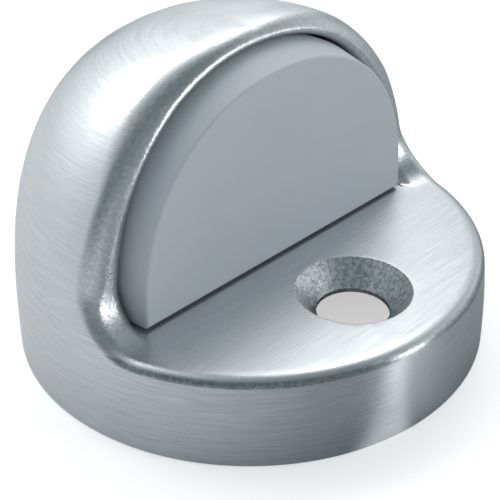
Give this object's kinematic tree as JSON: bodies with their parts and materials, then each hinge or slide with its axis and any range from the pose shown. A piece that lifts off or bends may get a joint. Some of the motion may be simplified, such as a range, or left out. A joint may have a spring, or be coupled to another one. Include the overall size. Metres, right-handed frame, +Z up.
{
  "type": "dome floor door stop",
  "caption": "Cast metal dome door stop for a floor: hollow dome with a low front shelf, a countersunk fixing hole and a D-shaped rubber bumper in its front window.",
  "frame": {"origin": "centre of the round base, on the floor", "axes": "+Z up; the bumper face and the fixing hole are on the -Y side; X is across the bumper, and X = 0 is the symmetry plane"},
  "size_m": [0.0476, 0.0476, 0.032],
  "materials": {
    "satin_chrome": "satin chrome plate on a casting, brushed with fine lines",
    "grey_rubber": "smooth moulded rubber, slightly dull",
    "zinc_sheet": "zinc plated steel sheet",
    "zinc_screw": "zinc plated steel screw"
  },
  "bodies": {
    "root": {"dome_body": "satin_chrome", "bumper": "grey_rubber", "bumper_keeper": "zinc_sheet", "keeper_screw_left": "zinc_screw", "keeper_screw_right": "zinc_screw"}
  },
  "joints": []
}
